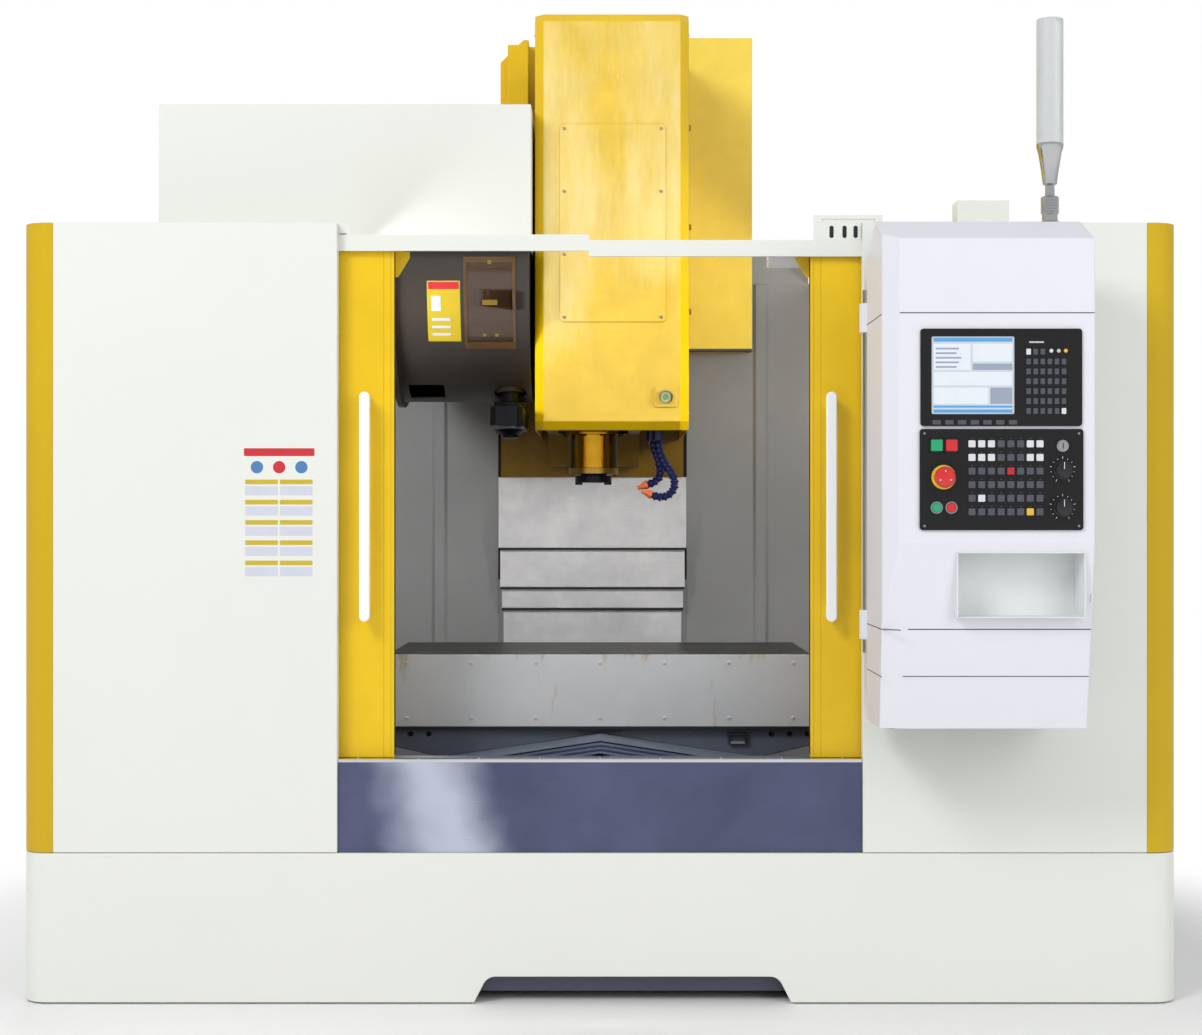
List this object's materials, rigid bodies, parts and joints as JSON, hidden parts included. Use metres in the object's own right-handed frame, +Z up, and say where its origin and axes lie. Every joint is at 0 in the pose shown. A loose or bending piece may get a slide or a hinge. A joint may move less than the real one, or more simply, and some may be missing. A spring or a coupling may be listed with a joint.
{
  "type": "vertical machining center",
  "caption": "CNC vertical machining center with sliding doors, moving table and head, arm tool changer and a swivelling operator pendant.",
  "frame": {"origin": "bottom centre of the machine, on the floor", "axes": "+Z up, operator stands on the -Y side, +X to the operator's right"},
  "size_m": [3.55, 3.092, 3.358],
  "materials": {
    "white_paint": "semi gloss powder coat",
    "yellow_paint": "semi gloss paint",
    "pillar_yellow": "gloss paint",
    "slate_steel": "brushed, blue tinted",
    "stainless": "brushed, clouded by use",
    "cast_paint": "painted casting",
    "ground_steel": "ground",
    "grey_paint": "matt paint",
    "cabinet_grey": "semi gloss paint",
    "drum_paint": "textured paint",
    "tank_paint": "matt paint",
    "black_steel": "black oxide",
    "motor_black": "matt paint",
    "pale_plastic": "fine texture paint",
    "panel_black": "satin",
    "hose_blue": "moulded",
    "lamp_body": "turned",
    "lamp_lens": "translucent",
    "clear_glass": "laminated",
    "red_plastic": "moulded",
    "green_plastic": "moulded",
    "knob_black": "moulded"
  },
  "bodies": {
    "frame": {"bed_casting": "cast_paint", "levelling_feet": "ground_steel", "column_casting": "cast_paint", "base_plinth": "white_paint", "coolant_tank": "tank_paint", "chip_pan": "stainless", "axis_motors": "motor_black", "splash_walls": "grey_paint", "front_panels": "white_paint", "corner_pillars": "pillar_yellow", "side_panels": "white_paint", "apron_panel": "slate_steel", "header_beam": "white_paint", "roof_panels": "white_paint", "magazine_frame": "cast_paint", "magazine_housing": "drum_paint", "magazine_hood": "white_paint", "chain_cover": "yellow_paint", "electrical_cabinet": "cabinet_grey", "lamp_post": "lamp_body", "signal_lamp": "lamp_lens", "work_light": "cabinet_grey", "pendant_post": "ground_steel"},
    "saddle": {"saddle_casting": "cast_paint", "x_feed_motor": "motor_black"},
    "table": {"work_table": "ground_steel", "table_guard": "cabinet_grey"},
    "head": {"headstock_casting": "yellow_paint", "head_cover": "yellow_paint", "spindle_motor": "motor_black", "spindle_cartridge": "ground_steel", "coolant_line": "hose_blue", "z_cover_top": "stainless"},
    "spindle": {"spindle_shaft": "ground_steel"},
    "upper_cover": {"z_cover_upper": "stainless"},
    "lower_cover": {"z_cover_lower": "stainless"},
    "near_cover": {"y_cover_near": "slate_steel"},
    "far_cover": {"y_cover_far": "slate_steel"},
    "left_sliding_door": {"left_door": "yellow_paint", "left_door_window": "clear_glass", "left_door_handle": "white_paint"},
    "right_sliding_door": {"right_door": "yellow_paint", "right_door_window": "clear_glass", "right_door_handle": "white_paint"},
    "rear_door": {"cabinet_door": "cabinet_grey"},
    "changer": {"tool_change_arm": "black_steel"},
    "magazine": {"magazine_disc": "black_steel"},
    "x_screw": {"x_ball_screw": "ground_steel"},
    "y_screw": {"y_ball_screw": "ground_steel"},
    "z_screw": {"z_ball_screw": "ground_steel"},
    "pendant": {"pendant_shell": "pale_plastic", "display_unit": "panel_black", "operation_panel": "panel_black"},
    "start": {"start_button": "green_plastic"},
    "stop": {"stop_button": "red_plastic"},
    "power_on": {"power_on_button": "green_plastic"},
    "power_off": {"power_off_button": "red_plastic"},
    "estop": {"emergency_stop": "red_plastic"},
    "feed_override": {"feed_knob": "knob_black"},
    "spindle_override": {"spindle_knob": "knob_black"}
  },
  "joints": [
    {"name": "y_axis", "type": "slide", "parent": "frame", "child": "saddle", "axis": [0, 1, 0], "range_m": [-0.2, 0.4]},
    {"name": "x_axis", "type": "slide", "parent": "saddle", "child": "table", "axis": [1, 0, 0], "range_m": [-0.65, 0.65]},
    {"name": "z_axis", "type": "slide", "parent": "frame", "child": "head", "axis": [0, 0, 1], "range_m": [-0.376, 0.274]},
    {"name": "spindle_turn", "type": "hinge", "parent": "head", "child": "spindle", "pos_m": [-0.024, -0.04, 1.7], "axis": [0, 0, 1], "continuous": true},
    {"name": "upper_cover_slide", "type": "slide", "parent": "frame", "child": "upper_cover", "axis": [0, 0, 1], "range_m": [-0.2407, 0.1754]},
    {"name": "lower_cover_slide", "type": "slide", "parent": "frame", "child": "lower_cover", "axis": [0, 0, 1], "range_m": [-0.1129, 0.0823]},
    {"name": "near_cover_slide", "type": "slide", "parent": "frame", "child": "near_cover", "axis": [0, 1, 0], "range_m": [-0.1335, 0.2668]},
    {"name": "far_cover_slide", "type": "slide", "parent": "frame", "child": "far_cover", "axis": [0, 1, 0], "range_m": [-0.0668, 0.1334]},
    {"name": "left_door_slide", "type": "slide", "parent": "frame", "child": "left_sliding_door", "axis": [1, 0, 0], "range_m": [0, 0.634]},
    {"name": "right_door_slide", "type": "slide", "parent": "frame", "child": "right_sliding_door", "axis": [-1, 0, 0], "range_m": [0, 0.648]},
    {"name": "cabinet_hinge", "type": "hinge", "parent": "frame", "child": "rear_door", "pos_m": [1.758, 1.448, 1.2], "axis": [0, 0, -1], "range_deg": [0, 110]},
    {"name": "arm_stroke", "type": "slide", "parent": "frame", "child": "changer", "axis": [0, 0, -1], "range_m": [0, 0.14]},
    {"name": "magazine_turn", "type": "hinge", "parent": "frame", "child": "magazine", "pos_m": [-0.5, 0.1, 2.355], "axis": [1, 0, 0], "continuous": true},
    {"name": "x_screw_turn", "type": "hinge", "parent": "saddle", "child": "x_screw", "pos_m": [0, -0.14, 0.8], "axis": [1, 0, 0], "continuous": true},
    {"name": "y_screw_turn", "type": "hinge", "parent": "frame", "child": "y_screw", "pos_m": [0, 0, 0.485], "axis": [0, 1, 0], "continuous": true},
    {"name": "z_screw_turn", "type": "hinge", "parent": "frame", "child": "z_screw", "pos_m": [-0.03, 0.825, 2], "axis": [0, 0, 1], "continuous": true},
    {"name": "pendant_swivel", "type": "hinge", "parent": "frame", "child": "pendant", "pos_m": [0.822, -1.067, 1.6], "axis": [0, 0, -1], "range_deg": [0, 90]},
    {"name": "start_press", "type": "slide", "parent": "pendant", "child": "start", "axis": [0, 1, 0], "range_m": [0, 0.004], "stiffness_N_per_m": 800},
    {"name": "stop_press", "type": "slide", "parent": "pendant", "child": "stop", "axis": [0, 1, 0], "range_m": [0, 0.004], "stiffness_N_per_m": 800},
    {"name": "power_on_press", "type": "slide", "parent": "pendant", "child": "power_on", "axis": [0, 1, 0], "range_m": [0, 0.004], "stiffness_N_per_m": 800},
    {"name": "power_off_press", "type": "slide", "parent": "pendant", "child": "power_off", "axis": [0, 1, 0], "range_m": [0, 0.004], "stiffness_N_per_m": 800},
    {"name": "emergency_press", "type": "slide", "parent": "pendant", "child": "estop", "axis": [0, 1, 0], "range_m": [0, 0.006]},
    {"name": "feed_override_turn", "type": "hinge", "parent": "pendant", "child": "feed_override", "pos_m": [1.31, -1.5, 1.625], "axis": [0, 1, 0], "range_deg": [-135, 135]},
    {"name": "spindle_override_turn", "type": "hinge", "parent": "pendant", "child": "spindle_override", "pos_m": [1.31, -1.5, 1.519], "axis": [0, 1, 0], "range_deg": [-135, 135]}
  ],
  "couplings": [
    {"joint": "upper_cover_slide", "follows": "z_axis", "ratio": 0.64},
    {"joint": "lower_cover_slide", "follows": "z_axis", "ratio": 0.3},
    {"joint": "near_cover_slide", "follows": "y_axis", "ratio": 0.6667},
    {"joint": "far_cover_slide", "follows": "y_axis", "ratio": 0.3333},
    {"joint": "x_screw_turn", "follows": "x_axis", "rad_per_m": 523.6},
    {"joint": "y_screw_turn", "follows": "y_axis", "rad_per_m": 523.6},
    {"joint": "z_screw_turn", "follows": "z_axis", "rad_per_m": 523.6}
  ]
}
